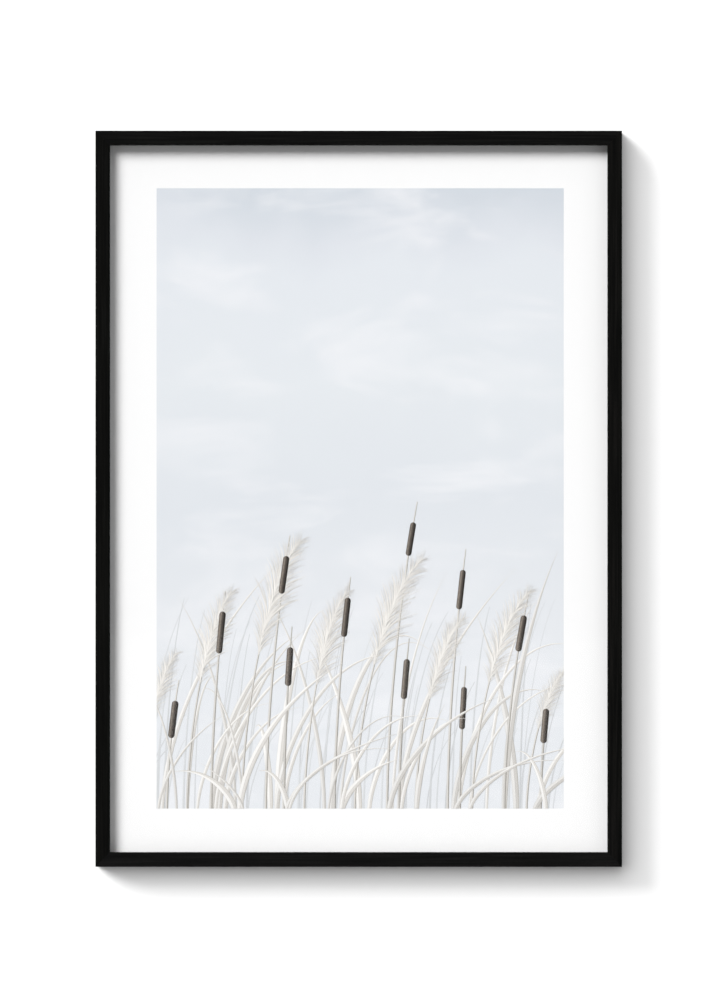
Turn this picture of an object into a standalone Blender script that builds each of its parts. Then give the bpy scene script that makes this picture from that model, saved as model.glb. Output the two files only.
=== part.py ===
"""A framed wall print: a mitred black wooden frame, a glazed paper sheet, a hardboard back and its fixings.

Metres, +Z up. +X runs to the viewer's right, the picture faces -Y, and the wall is the plane Y = 0.
The origin is the middle of the top rail's back face, which lies on the wall.
"""

import math

import bmesh
import bpy
from mathutils import Matrix, Vector

# Driving dimensions: a B2 sheet, and the moulding that is cut to it
SHEET_WIDTH = 0.500
SHEET_HEIGHT = 0.707
SHEET_PLAY = 0.001  # room round the sheet on each side
FACE = 0.014  # width of the moulding, seen from the front
LIP = 0.005  # how far the moulding laps over the sheet
DEPTH = 0.022
LIP_DEPTH = 0.011  # from the front face back to the glazing
EDGE_RADIUS = 0.0005
GAP = 0.0003  # left between pieces that touch on the real frame

# Thickness of each layer behind the lip
GLAZING_THICKNESS = 0.002
SHEET_THICKNESS = 0.0003
BOARD_THICKNESS = 0.003

# Steel tabs that are driven into the rebate and bent down on the board
TAB_WIDTH = 0.007
TAB_THICKNESS = 0.0005
TAB_DRIVEN = 0.005  # length inside the wood
TAB_FLAT = 0.0075  # length that lies on the board
TAB_CURL = (0.0035, 0.0012)  # further length and lift of the finger grip
TABS_PER_SIDE = {"top": 3, "right": 4, "bottom": 3, "left": 4}

# V-shaped corner nails, driven flush into the back of each mitre
NAIL_LEG = 0.0045
NAIL_THICKNESS = 0.0005
NAIL_LENGTH = 0.007  # into the wood
NAIL_SPREAD = math.radians(35)  # between each leg and the mitre
NAIL_POINT = 0.0063  # from the point to both outer edges
NAIL_SUNK = 0.0001

# Sawtooth hangers, riveted to the board
HANGER_SPACING = 0.240  # between their middles
HANGER_DROP = 0.028  # from the top of the rebate to their middles
HANGER_HEIGHT = 0.011
HANGER_THICKNESS = 0.001
HANGER_HALF = 0.022
HANGER_FOOT = 0.007  # length of each flat foot
HANGER_SLOPE = 0.0025  # run and rise from foot to bar
TOOTH_PITCH = 0.0025
TOOTH_HEIGHT = 0.0018
TEETH = 9
BEND_RADIUS = 0.001

# Rivets that hold the hangers
RIVET_RADIUS = 0.0014
RIVET_HEAD_RADIUS = 0.0027
RIVET_HEAD_HEIGHT = 0.0011
RIVET_SHORT = 0.0004  # the shank ends this far short of the board's front

# Worked out from the values above
BACK_FACE = FACE - LIP
OUTER_WIDTH = SHEET_WIDTH + 2 * (SHEET_PLAY + BACK_FACE)
OUTER_HEIGHT = SHEET_HEIGHT + 2 * (SHEET_PLAY + BACK_FACE)
CENTRE_Z = (BACK_FACE - OUTER_HEIGHT) / 2
GLAZING_FRONT = GAP + LIP_DEPTH - DEPTH
SHEET_FRONT = GLAZING_FRONT + GLAZING_THICKNESS + GAP
BOARD_FRONT = SHEET_FRONT + SHEET_THICKNESS + GAP
BOARD_BACK = BOARD_FRONT + BOARD_THICKNESS
TURN_OF_SIDE = {"top": 0.0, "right": math.pi / 2, "bottom": math.pi, "left": 1.5 * math.pi}

# How the pieces are made
PAST = 0.002  # how far a cutter runs past the face that it opens
SMOOTH_BELOW = math.radians(40)  # faces that meet at less than this are shaded as one


def clear_scene():
    for item in list(bpy.data.objects):
        bpy.data.objects.remove(item, do_unlink=True)


def finish(name, colour, roughness, metallic=0.0, alpha=1.0):
    """A plain Principled material."""
    material = bpy.data.materials.new(name)
    material.use_nodes = True
    shader = material.node_tree.nodes["Principled BSDF"]
    shader.inputs["Base Color"].default_value = (*colour, 1.0)
    shader.inputs["Roughness"].default_value = roughness
    shader.inputs["Metallic"].default_value = metallic
    shader.inputs["Alpha"].default_value = alpha
    return material


def rounded(points, radius, steps=3):
    """The open line through points, with each inner corner turned into an arc."""
    line = [Vector(points[0])]
    for before, corner, after in zip(points, points[1:], points[2:]):
        corner = Vector(corner)
        back = (Vector(before) - corner).normalized()
        ahead = (Vector(after) - corner).normalized()
        half = back.angle(ahead) / 2
        middle = corner + (back + ahead).normalized() * radius / math.sin(half)
        start = corner + back * radius / math.tan(half) - middle
        sweep = start.angle_signed(corner + ahead * radius / math.tan(half) - middle)
        for step in range(steps + 1):
            line.append(middle + Matrix.Rotation(-sweep * step / steps, 2) @ start)
    return line + [Vector(points[-1])]


def thick_line(line, thickness):
    """Outline of a strip of even thickness that follows an open line in a plane."""
    left, right = [], []
    for index, point in enumerate(line):
        back = line[max(index - 1, 0)]
        ahead = line[min(index + 1, len(line) - 1)]
        before = (point - back).normalized() if index else (ahead - point).normalized()
        after = (ahead - point).normalized() if index < len(line) - 1 else before
        along = (before + after).normalized()
        side = Vector((-along.y, along.x)) * thickness / 2 / along.dot(before)
        left.append(point + side)
        right.append(point - side)
    return left + right[::-1]


def add_prism(shape, outline, place, low, high):
    """Adds an outline, extruded from low to high. place turns (u, v, w) into a point, and w runs along the
    extrusion."""
    face = shape.faces.new([shape.verts.new(place(u, v, low)) for u, v in outline])
    extruded = bmesh.ops.extrude_face_region(shape, geom=[face])["geom"]
    ends = [part for part in extruded if isinstance(part, bmesh.types.BMVert)]
    bmesh.ops.translate(shape, verts=ends, vec=place(0, 0, high) - place(0, 0, low))
    bmesh.ops.recalc_face_normals(shape, faces=shape.faces)


def add_box(shape, low, high):
    outline = [(low[0], low[2]), (high[0], low[2]), (high[0], high[2]), (low[0], high[2])]
    add_prism(shape, outline, lambda u, v, w: Vector((u, w, v)), low[1], high[1])


def turned(profile, steps=20):
    """A solid of revolution round local Y, from points (radius, y) that start and end on the axis."""
    shape = bmesh.new()
    rim = [shape.verts.new((radius, y, 0)) for radius, y in profile]
    edges = [shape.edges.new(pair) for pair in zip(rim, rim[1:])]
    bmesh.ops.spin(
        shape, geom=rim + edges, axis=(0, 1, 0), cent=(0, 0, 0), angle=2 * math.pi, steps=steps
    )
    bmesh.ops.remove_doubles(shape, verts=shape.verts, dist=1e-6)
    bmesh.ops.recalc_face_normals(shape, faces=shape.faces)
    return shape


def as_object(name, shape, material, smooth_below=0.0):
    """Turns a bmesh into a named object that hangs on the frame's centre."""
    mesh = bpy.data.meshes.new(name)
    shape.to_mesh(mesh)
    shape.free()
    if smooth_below:
        mesh.shade_smooth()
        mesh.set_sharp_from_angle(angle=smooth_below)
    mesh.materials.append(material)
    item = bpy.data.objects.new(name, mesh)
    bpy.context.scene.collection.objects.link(item)
    item.parent = bpy.data.objects["frame_centre"]
    return item


def cut(item, cutter):
    """Takes the cutter out of the item, and keeps the cutter out of the model."""
    cutter.hide_render = True
    cutter.display_type = "WIRE"
    boolean = item.modifiers.new("cut_" + cutter.name, "BOOLEAN")
    boolean.operation = "DIFFERENCE"
    boolean.solver = "EXACT"
    boolean.object = cutter


def length_of(side):
    return OUTER_WIDTH if side in ("top", "bottom") else OUTER_HEIGHT


def set_on_side(item, side, along=0.0, inward=0.0, depth=0.0):
    """Places an item by its distance inward from a side's outer edge. Its local +Z then points outward."""
    reach = (OUTER_HEIGHT if side in ("top", "bottom") else OUTER_WIDTH) / 2
    item.rotation_euler = (0, TURN_OF_SIDE[side], 0)
    turn = Matrix.Rotation(TURN_OF_SIDE[side], 3, "Y")
    item.location = turn @ Vector((along, depth, reach - inward))


def tab_places(side):
    """Distances of the tabs from the middle of a side, evenly spaced along the rebate."""
    count = TABS_PER_SIDE[side]
    span = length_of(side) - 2 * BACK_FACE
    return [span * ((index + 0.5) / count - 0.5) for index in range(count)]


# The four rails

def rail_shape(length):
    """Moulding with a rebate behind its lip. The ends are mitred, and the outer edge lies at local Z = 0."""
    section = [
        (0, -DEPTH),
        (-FACE, -DEPTH),
        (-FACE, LIP_DEPTH - DEPTH),
        (-BACK_FACE, LIP_DEPTH - DEPTH),
        (-BACK_FACE, 0),
        (0, 0),
    ]
    shape = bmesh.new()
    add_prism(shape, section, lambda u, v, w: Vector((w, v, u)), -length / 2, length / 2)
    for vert in shape.verts:
        half = length / 2 + vert.co.z - GAP / math.sqrt(2)
        vert.co.x = math.copysign(half, vert.co.x)
    eased = []
    for edge in shape.edges:
        first, second = (vert.co for vert in edge.verts)
        lengthwise = first.x * second.x < 0
        on_front = first.y < GAP - DEPTH
        on_back_corner = first.y > -GAP and first.z > -GAP
        if lengthwise and (on_front or on_back_corner):
            eased.append(edge)
    bmesh.ops.bevel(
        shape, geom=eased, offset=EDGE_RADIUS, segments=3, profile=0.5, affect="EDGES"
    )
    return shape


def nail_line():
    """The corner nail's V, as distances from the two outer edges of a corner."""
    point = Vector((NAIL_POINT, NAIL_POINT))
    outward = Vector((-1, -1)).normalized() * NAIL_LEG
    legs = [Matrix.Rotation(turn, 2) @ outward for turn in (-NAIL_SPREAD, NAIL_SPREAD)]
    return [point + legs[0], point, point + legs[1]]


def slots_shape(side):
    """What is cut out of a rail: a slot for each tab, and half of each corner nail's slot."""
    length = length_of(side)
    shape = bmesh.new()
    for along in tab_places(side):
        low = (along - TAB_WIDTH / 2 - GAP, BOARD_BACK, -BACK_FACE - PAST)
        high = (
            along + TAB_WIDTH / 2 + GAP,
            BOARD_BACK + TAB_THICKNESS + 2 * GAP,
            TAB_DRIVEN + GAP - BACK_FACE,
        )
        add_box(shape, low, high)
    line = nail_line()
    line[0] += (line[0] - line[1]).normalized() * GAP
    line[2] += (line[2] - line[1]).normalized() * GAP
    outline = thick_line(line, NAIL_THICKNESS + 2 * GAP)
    for end in (-1, 1):
        add_prism(
            shape,
            outline,
            lambda u, v, w, end=end: Vector((end * (length / 2 - u), w, -v)),
            -NAIL_LENGTH - NAIL_SUNK - GAP,
            PAST,
        )
    return shape


def make_rails(wood):
    for side in TURN_OF_SIDE:
        rail = as_object(side + "_rail", rail_shape(length_of(side)), wood, SMOOTH_BELOW)
        slots = as_object(side + "_slots", slots_shape(side), wood)
        cut(rail, slots)
        set_on_side(rail, side)
        set_on_side(slots, side)


def make_corner_nails(steel):
    """One V nail for each corner, placed at the clockwise end of a side."""
    names = {"top": "top_right", "right": "bottom_right", "bottom": "bottom_left", "left": "top_left"}
    for side, corner in names.items():
        half = length_of(side) / 2
        shape = bmesh.new()
        add_prism(
            shape,
            thick_line(nail_line(), NAIL_THICKNESS),
            lambda u, v, w, half=half: Vector((half - u, w, -v)),
            -NAIL_LENGTH - NAIL_SUNK,
            -NAIL_SUNK,
        )
        set_on_side(as_object("corner_nail_" + corner, shape, steel), side)


# The layers between the rails

def layer_shape(front, thickness):
    shape = bmesh.new()
    add_box(
        shape,
        (-SHEET_WIDTH / 2, front, -SHEET_HEIGHT / 2),
        (SHEET_WIDTH / 2, front + thickness, SHEET_HEIGHT / 2),
    )
    return shape


def hanger_places():
    """Middles of the two hangers, as (x, z) from the frame's centre."""
    height = OUTER_HEIGHT / 2 - BACK_FACE - HANGER_DROP
    return {"left": (-HANGER_SPACING / 2, height), "right": (HANGER_SPACING / 2, height)}


def rivet_places():
    """Name, x and z of each rivet, in the middle of a hanger's foot."""
    out = HANGER_HALF - HANGER_FOOT / 2
    for side, (x, z) in hanger_places().items():
        yield side + "_outer", x + math.copysign(out, x), z
        yield side + "_inner", x - math.copysign(out, x), z


def round_hole_shape(low, high):
    """Cutter for a rivet's hole, with running room round the shank."""
    radius = RIVET_RADIUS + GAP
    return turned([(0, low), (radius, low), (radius, high), (0, high)])


def make_layers(acrylic, paper, hardboard):
    as_object("glazing", layer_shape(GLAZING_FRONT, GLAZING_THICKNESS), acrylic)
    as_object("print_sheet", layer_shape(SHEET_FRONT, SHEET_THICKNESS), paper)
    board = as_object("backing_board", layer_shape(BOARD_FRONT, BOARD_THICKNESS), hardboard)
    for name, x, z in rivet_places():
        hole = round_hole_shape(BOARD_FRONT - PAST, BOARD_BACK + PAST)
        cutter = as_object("board_hole_" + name, hole, hardboard)
        cutter.location = (x, 0, z)
        cut(board, cutter)


# The fixings on the back

def tab_shape():
    """A steel tab. Local Z = 0 is the wall of the rebate, and Y = 0 the side that lies on the board."""
    middle = TAB_THICKNESS / 2
    length, lift = TAB_CURL
    line = rounded(
        [(TAB_DRIVEN, middle), (-TAB_FLAT, middle), (-TAB_FLAT - length, middle + lift)],
        radius=3 * BEND_RADIUS,
    )
    shape = bmesh.new()
    add_prism(
        shape,
        thick_line(line, TAB_THICKNESS),
        lambda u, v, w: Vector((w, v, u)),
        -TAB_WIDTH / 2,
        TAB_WIDTH / 2,
    )
    tip = -TAB_FLAT - length + TAB_THICKNESS
    corners = [
        edge
        for edge in shape.edges
        if all(vert.co.z < tip for vert in edge.verts)
        and abs(edge.verts[0].co.x - edge.verts[1].co.x) < TAB_THICKNESS
        and edge.calc_length() < 2 * TAB_THICKNESS
    ]
    bmesh.ops.bevel(
        shape, geom=corners, offset=TAB_WIDTH / 3, segments=4, profile=0.5, affect="EDGES"
    )
    return shape


def make_tabs(steel):
    """Tabs are numbered clockwise along each side, seen from the front."""
    for side in TURN_OF_SIDE:
        for number, along in enumerate(tab_places(side), start=1):
            tab = as_object(f"tab_{side}_{number}", tab_shape(), steel, SMOOTH_BELOW)
            set_on_side(tab, side, along, inward=BACK_FACE, depth=BOARD_BACK + GAP)


def hanger_shape():
    """A strip with two flat feet and a raised bar between them. Y = 0 is the side on the board."""
    slope = HANGER_HALF - HANGER_FOOT
    foot = HANGER_THICKNESS / 2
    bar = foot + HANGER_SLOPE
    line = [
        (-HANGER_HALF, foot),
        (-slope, foot),
        (HANGER_SLOPE - slope, bar),
        (slope - HANGER_SLOPE, bar),
        (slope, foot),
        (HANGER_HALF, foot),
    ]
    shape = bmesh.new()
    add_prism(
        shape,
        thick_line(rounded(line, BEND_RADIUS), HANGER_THICKNESS),
        lambda u, v, w: Vector((u, v, w)),
        -HANGER_HEIGHT / 2,
        HANGER_HEIGHT / 2,
    )
    corners = [
        edge
        for edge in shape.edges
        if all(abs(vert.co.x) > HANGER_HALF - GAP for vert in edge.verts)
        and abs(edge.verts[0].co.z - edge.verts[1].co.z) < GAP
    ]
    bmesh.ops.bevel(
        shape, geom=corners, offset=2 * HANGER_THICKNESS, segments=4, profile=0.5, affect="EDGES"
    )
    return shape


def teeth_shape():
    """Cutter for the notches along the bar's lower edge."""
    low = -HANGER_HEIGHT / 2
    half = TEETH * TOOTH_PITCH / 2
    outline = [(half, low - PAST), (-half, low - PAST), (-half, low)]
    for notch in range(TEETH):
        start = notch * TOOTH_PITCH - half
        outline.append((start + TOOTH_PITCH / 2, low + TOOTH_HEIGHT))
        outline.append((start + TOOTH_PITCH, low))
    shape = bmesh.new()
    add_prism(
        shape,
        outline,
        lambda u, v, w: Vector((u, w, v)),
        HANGER_SLOPE / 2,
        HANGER_SLOPE + HANGER_THICKNESS + PAST,
    )
    return shape


def make_hangers(steel):
    for side, (x, z) in hanger_places().items():
        hanger = as_object("hanger_" + side, hanger_shape(), steel, SMOOTH_BELOW)
        hanger.location = (x, BOARD_BACK + GAP, z)
        teeth = as_object("teeth_" + side, teeth_shape(), steel)
        teeth.location = hanger.location
        cut(hanger, teeth)
        for name, hole_x, hole_z in rivet_places():
            if name.startswith(side):
                hole = round_hole_shape(-PAST, HANGER_THICKNESS + PAST)
                cutter = as_object("foot_hole_" + name, hole, steel)
                cutter.location = (hole_x, BOARD_BACK + GAP, hole_z)
                cut(hanger, cutter)


def make_rivets(steel):
    """Each rivet passes through a hanger's foot and the board, with a low domed head on the foot."""
    shank_end = BOARD_FRONT + RIVET_SHORT
    seat = BOARD_BACK + GAP + HANGER_THICKNESS + GAP
    rim = RIVET_HEAD_HEIGHT / 3
    profile = [(0, shank_end), (RIVET_RADIUS, shank_end), (RIVET_RADIUS, seat)]
    profile += [(RIVET_HEAD_RADIUS, seat), (RIVET_HEAD_RADIUS, seat + rim)]
    for step in (0.25, 0.5, 0.75):
        turn = step * math.pi / 2
        height = rim + (RIVET_HEAD_HEIGHT - rim) * math.sin(turn)
        profile.append((RIVET_HEAD_RADIUS * math.cos(turn), seat + height))
    profile.append((0, seat + RIVET_HEAD_HEIGHT))
    for name, x, z in rivet_places():
        rivet = as_object("rivet_" + name, turned(profile), steel, SMOOTH_BELOW)
        rivet.location = (x, 0, z)


def main():
    clear_scene()
    centre = bpy.data.objects.new("frame_centre", None)
    centre.location = (0, 0, CENTRE_Z)
    bpy.context.scene.collection.objects.link(centre)
    wood = finish("black_stained_wood", (0.006, 0.006, 0.006), 0.45)
    acrylic = finish("clear_acrylic", (0.9, 0.93, 0.94), 0.05, alpha=0.2)
    paper = finish("matt_paper", (0.9, 0.9, 0.9), 0.9)
    hardboard = finish("brown_hardboard", (0.22, 0.12, 0.06), 0.7)
    zinc = finish("zinc_plated_steel", (0.55, 0.56, 0.57), 0.35, metallic=1.0)
    brass = finish("brass_plated_steel", (0.75, 0.58, 0.30), 0.3, metallic=1.0)
    make_rails(wood)
    make_corner_nails(zinc)
    make_layers(acrylic, paper, hardboard)
    make_tabs(zinc)
    make_hangers(brass)
    make_rivets(brass)


main()
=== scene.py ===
"""Looks of a framed wall print: black stained wood, clear glazing, a printed sheet, and the fixings behind.

Metres, +Z up. The picture faces -Y and the wall is the plane Y = 0. The sheet's sky is part of the paper's
material, and the plants in front of it are thin layers of ink between the paper and the glazing.
"""

import math
import random

import bmesh
import bpy
from mathutils import Matrix, Vector


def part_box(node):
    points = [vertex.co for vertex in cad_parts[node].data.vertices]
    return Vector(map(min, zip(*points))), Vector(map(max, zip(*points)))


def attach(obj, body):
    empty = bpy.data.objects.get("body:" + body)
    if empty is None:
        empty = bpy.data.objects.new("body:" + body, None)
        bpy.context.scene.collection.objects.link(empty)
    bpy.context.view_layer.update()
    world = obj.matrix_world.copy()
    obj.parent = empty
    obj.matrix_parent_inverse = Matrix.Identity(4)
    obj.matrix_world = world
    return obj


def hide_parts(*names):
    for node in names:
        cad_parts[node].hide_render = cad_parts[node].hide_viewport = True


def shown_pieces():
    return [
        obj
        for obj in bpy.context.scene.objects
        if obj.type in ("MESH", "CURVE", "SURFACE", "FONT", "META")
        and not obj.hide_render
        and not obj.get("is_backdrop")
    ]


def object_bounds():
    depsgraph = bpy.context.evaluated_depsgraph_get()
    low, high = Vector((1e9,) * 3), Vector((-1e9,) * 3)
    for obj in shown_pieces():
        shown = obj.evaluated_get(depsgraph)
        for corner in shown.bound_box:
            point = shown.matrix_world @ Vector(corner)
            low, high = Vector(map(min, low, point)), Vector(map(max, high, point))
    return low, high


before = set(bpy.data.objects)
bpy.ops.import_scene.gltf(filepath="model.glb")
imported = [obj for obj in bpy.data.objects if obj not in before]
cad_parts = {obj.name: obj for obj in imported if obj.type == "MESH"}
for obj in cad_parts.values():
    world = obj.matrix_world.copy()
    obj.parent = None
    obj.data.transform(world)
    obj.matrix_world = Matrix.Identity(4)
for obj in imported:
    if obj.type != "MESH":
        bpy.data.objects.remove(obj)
cad_low, cad_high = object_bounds()

MM = 0.001
TOWARDS_VIEWER = (0, -1, 0)

# Places and sizes read from the frame
CENTRE = (cad_low + cad_high) / 2
OUTER_WIDTH = cad_high.x - cad_low.x
OUTER_HEIGHT = cad_high.z - cad_low.z
DEPTH = cad_high.y - cad_low.y
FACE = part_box("top_rail")[1].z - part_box("top_rail")[0].z
GLAZING_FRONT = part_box("glazing")[0].y
SHEET_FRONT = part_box("print_sheet")[0].y

# Pieces that touch on the real frame lie this far apart
CLEARANCE = 0.3 * MM

# The rails, and how far each one is turned round from the top one
SIDES = {"top": 0.0, "right": math.pi / 2, "bottom": math.pi, "left": 1.5 * math.pi}

# The moulding's section
LIP = 5 * MM
LIP_BACK = GLAZING_FRONT - CLEARANCE
EDGE_RADIUS = 0.5 * MM
EDGE_SEGMENTS = 4
MITRE_GAP = 0.03 * MM
SMOOTH_BELOW = math.radians(40)

# Corners this near each other are one, corners this near a plane lie in it, and faces this level are one
WELD = MM / 1000
NEAR = MM / 100
LEVEL = math.radians(1)

# The picture on the sheet. Its plants are placed in millimetres across and up from its lower left corner.
PICTURE_WIDTH = 403
PICTURE_HEIGHT = 614
PICTURE_CENTRE = CENTRE + Vector((1.4, 0, 0.4)) * MM
PICTURE_CORNER = PICTURE_CENTRE - Vector((PICTURE_WIDTH, 0, PICTURE_HEIGHT)) * MM / 2
FAR_CORNER = 2 * PICTURE_CENTRE - PICTURE_CORNER

# How far in front of the paper each kind of plant starts, in millimetres. The glazing is 0.3 mm away. Each
# strand's front is a step in front of the last one's, so that no two of them lie in one plane. The hairs of
# the plumes share out a deeper layer.
FAR_REEDS, BACK_LEAVES, STEMS, PLUMES, SEED_HEADS, FRONT_LEAVES = 0.008, 0.086, 0.132, 0.162, 0.216, 0.236
FAR_REED_STEP = 0.0012
LAYER_STEP = 0.0015
PLUME_LAYER = 0.05
INK_THICKNESS = 0.006

# The plants: the foot, the lean to the right and the height of each, in millimetres
PAMPAS = (
    (-16, 36, 190), (30, 44, 262), (84, 58, 322), (146, 42, 262),
    (196, 66, 300), (256, 48, 232), (312, 58, 264), (366, 40, 172),
)
BULRUSHES = (
    (10, 12, 136), (54, 14, 226), (108, 24, 282), (126, 8, 190), (176, 16, 240), (228, 30, 316),
    (240, 10, 178), (288, 18, 268), (300, 6, 150), (344, 24, 222), (380, 8, 128),
)
FAR_REED_COUNT = 64
BACK_LEAF_COUNT = 30
FRONT_LEAF_COUNT = 18

# How far below the picture's edge all plants start, how late their stems bend, and how low their tips nod
SUNK = 6
BEND = 1.8
PAMPAS_NOD = 0.16
BULRUSH_NOD = 0.02

# The half widths that a leaf and a seed head end in, and what shows of a bulrush's stem above its head
LEAF_TIP = 0.12
HEAD_TIP = 0.1
BARE_TIP = 22

# The height of a pampas stem whose plume has hairs of the full length
FULL_PLUME = 260

# The photograph's framing, in its pixels
PHOTO_WIDTH, PHOTO_HEIGHT = 720, 1008
PHOTO_FRAME_HEIGHT = 736.25
PHOTO_CENTRE = (358.74, 498.78)
LENS = 200.0
SENSOR = 36.0

# The wall and the floor
FLOOR_DROP = 1.2
FLOOR_REACH = 60.0
WALL_REACH = 7.0
WALL_HEIGHT = 4.0
WALL_GAP = CLEARANCE

# The suns: where each one comes from, its strength and its spread
KEY = {"key": (Vector((-0.66, -1.0, 0.79)), 3.24, math.radians(29))}
WALL_LIGHTS = {
    "wall_key": (Vector((-0.45, -1.0, 0.46)), 2.33, math.radians(63)),
    "wall_rake": (Vector((-2.77, -1.0, 2.1)), 6.42, math.radians(34)),
}
BACK_LIGHTS = {
    "back_left": (Vector((-0.7, 1.0, 0.9)), 2.2, math.radians(80)),
    "back_right": (Vector((0.9, 1.0, 0.3)), 1.5, math.radians(80)),
}

# The ambient light, which is stronger from the right and from above
SKY_STRENGTH = 0.435
SKY_SLOPE = Vector((0.34, 0, 0.31))

# The dark cap on the camera's side of the studio: its rim and its core in degrees, and its share of light
DARK_RIM, DARK_CORE = 38, 12
DARK_SHARE = 0.2


def find(sockets, key):
    """The socket in use that has this number, name or identifier."""
    if isinstance(key, int):
        return sockets[key]
    return next(socket for socket in sockets if socket.enabled and key in (socket.name, socket.identifier))


def output_of(source):
    """A node's first output in use. Anything else is given back as it is."""
    if isinstance(source, bpy.types.Node):
        return next(socket for socket in source.outputs if socket.enabled)
    return source


def add(tree, kind, inputs=None, **settings):
    """Adds a node. inputs gives each of its sockets a value, another node or another node's output."""
    node = tree.nodes.new(kind)
    for name, value in settings.items():
        setattr(node, name, value)
    for key, source in (inputs or {}).items():
        value = output_of(source)
        if isinstance(value, bpy.types.NodeSocket):
            tree.links.new(value, find(node.inputs, key))
        else:
            find(node.inputs, key).default_value = value
    return node


def linear(code):
    """An sRGB hex colour as linear red, green, blue and alpha."""
    shares = [int(code[i : i + 2], 16) / 255 for i in (1, 3, 5)]
    return (*[v / 12.92 if v <= 0.04045 else ((v + 0.055) / 1.055) ** 2.4 for v in shares], 1.0)


def set_stops(ramp, *stops):
    """Gives a colour ramp its stops, each a place from 0 to 1 and a hex colour."""
    elements = ramp.color_ramp.elements
    while len(elements) < len(stops):
        elements.new(1.0)
    for element, (place, code) in zip(elements, stops):
        element.position = place
        element.color = linear(code)
    return ramp


def start_material(name, **numbers):
    """A new material and its node tree. The numbers are the uniform values of its shader's own sockets."""
    material = bpy.data.materials.new(name)
    material.use_nodes = True
    shader = material.node_tree.nodes["Principled BSDF"]
    for key, value in numbers.items():
        find(shader.inputs, key.replace("_", " ")).default_value = value
    return material, material.node_tree


def link_shader(tree, **sources):
    """Links each source to the shader's socket of that name."""
    shader = tree.nodes["Principled BSDF"]
    for key, source in sources.items():
        tree.links.new(output_of(source), find(shader.inputs, key.replace("_", " ")))


def new_object(name, data):
    """A new object in the scene, at the origin."""
    item = bpy.data.objects.new(name, data)
    bpy.context.scene.collection.objects.link(item)
    return item


def shape_object(name, shape, material=None):
    """A bmesh as a new object at the origin."""
    mesh = bpy.data.meshes.new(name)
    shape.to_mesh(mesh)
    shape.free()
    if material:
        mesh.materials.append(material)
    return new_object(name, mesh)


def apply_modifiers(item):
    """Turns the item and its modifiers into a plain mesh."""
    graph = bpy.context.evaluated_depsgraph_get()
    mesh = bpy.data.meshes.new_from_object(item.evaluated_get(graph))
    item.modifiers.clear()
    item.data = mesh
    mesh.name = item.name


def start_tree(name, **inputs):
    """A new geometry tree with these inputs, each a kind of socket, and the outputs of its input node."""
    tree = bpy.data.node_groups.new(name, "GeometryNodeTree")
    tree.interface.new_socket("Geometry", in_out="INPUT", socket_type="NodeSocketGeometry")
    for key, kind in inputs.items():
        tree.interface.new_socket(key, in_out="INPUT", socket_type="NodeSocket" + kind)
    tree.interface.new_socket("Geometry", in_out="OUTPUT", socket_type="NodeSocketGeometry")
    return tree, tree.nodes.new("NodeGroupInput").outputs


def end_tree(tree, shape, material):
    """Ends a tree of flat strands. What lies behind in each of them moves back by the ink's thickness: its
    back, or its front where the strand is turned round."""
    real = add(tree, "GeometryNodeRealizeInstances", {"Geometry": shape})
    back, turned = [
        add(tree, "GeometryNodeInputNamedAttribute", {"Name": key}, data_type="FLOAT")
        for key in ("back", "turned")
    ]
    behind = add(tree, "ShaderNodeMath", {0: back, 1: turned}, operation="SUBTRACT")
    behind = add(tree, "ShaderNodeMath", {0: behind}, operation="ABSOLUTE")
    behind = add(tree, "ShaderNodeMath", {0: behind, 1: INK_THICKNESS * MM}, operation="MULTIPLY")
    offset = add(tree, "ShaderNodeCombineXYZ", {"Y": behind})
    thick = add(tree, "GeometryNodeSetPosition", {"Geometry": real, "Offset": offset})
    painted = add(tree, "GeometryNodeSetMaterial", {"Geometry": thick, "Material": material})
    add(tree, "NodeGroupOutput", {"Geometry": painted})
    return tree


def grow(name, shape, tree, **values):
    """Runs a geometry tree on a bmesh, and leaves its result as a plain mesh."""
    item = shape_object(name, shape)
    modifier = item.modifiers.new(tree.name, "NODES")
    modifier.node_group = tree
    for socket in tree.interface.items_tree:
        if socket.in_out == "INPUT" and socket.name in values:
            modifier[socket.identifier] = values[socket.name]
    apply_modifiers(item)
    return item


# The wood

# The darkest, the middle and the lightest tone of each rail, and their places in the streaks
# The tones also differ by rail as painted light and shade: the bottom rail lighter, the left darker.
GRAIN_AND_PAINTED_LIGHT_TONES = {
    "top": ("#030303", "#070707", "#111110"),
    "right": ("#020202", "#070706", "#11100f"),
    "bottom": ("#060606", "#0c0c0c", "#151414"),
    "left": ("#010101", "#040403", "#0c0c0b"),
}
TONE_PLACES = (0.36, 0.5, 0.64)

# The width, the length and the detail of the ash's streaks and of its open pores
STREAKS = (1.2 * MM, 80 * MM, 5.0)
PORES = (0.25 * MM, 4 * MM, 2.0)

# How many streaks apart the rails are cut from the same grain
GRAIN_SHIFT = 3.7


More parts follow.
